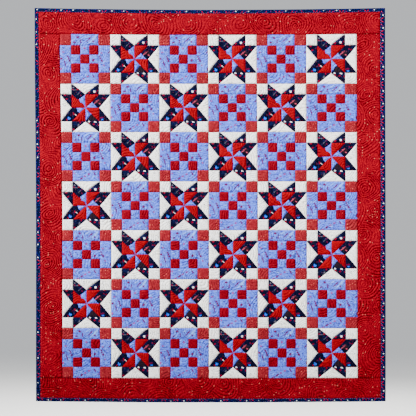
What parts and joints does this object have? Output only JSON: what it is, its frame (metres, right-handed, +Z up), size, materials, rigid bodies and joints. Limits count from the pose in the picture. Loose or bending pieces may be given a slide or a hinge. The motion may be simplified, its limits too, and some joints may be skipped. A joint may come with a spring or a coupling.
{
  "type": "star quilt wall hanging",
  "caption": "Bound cotton patchwork quilt hung flat by its top edge, star and nine-patch blocks in a plain border, low puffs between its seams and soft upright folds.",
  "frame": {"origin": "middle of the top edge, in the plane of the wall that the quilt hangs against", "axes": "+Z up, +X to the right as seen from the front, the patchwork faces -Y and the plain back faces +Y, towards the wall"},
  "size_m": [1.5434, 0.0157, 1.7344],
  "materials": {
    "pieced_cotton": "matt woven cotton",
    "red_cotton": "matt woven cotton",
    "navy_print_cotton": "matt woven cotton with a small print"
  },
  "bodies": {
    "root": {"pieced_blocks": "pieced_cotton", "border_top": "red_cotton", "border_bottom": "red_cotton", "border_left": "red_cotton", "border_right": "red_cotton", "binding_top": "navy_print_cotton", "binding_bottom": "navy_print_cotton", "binding_left": "navy_print_cotton", "binding_right": "navy_print_cotton"}
  },
  "joints": []
}
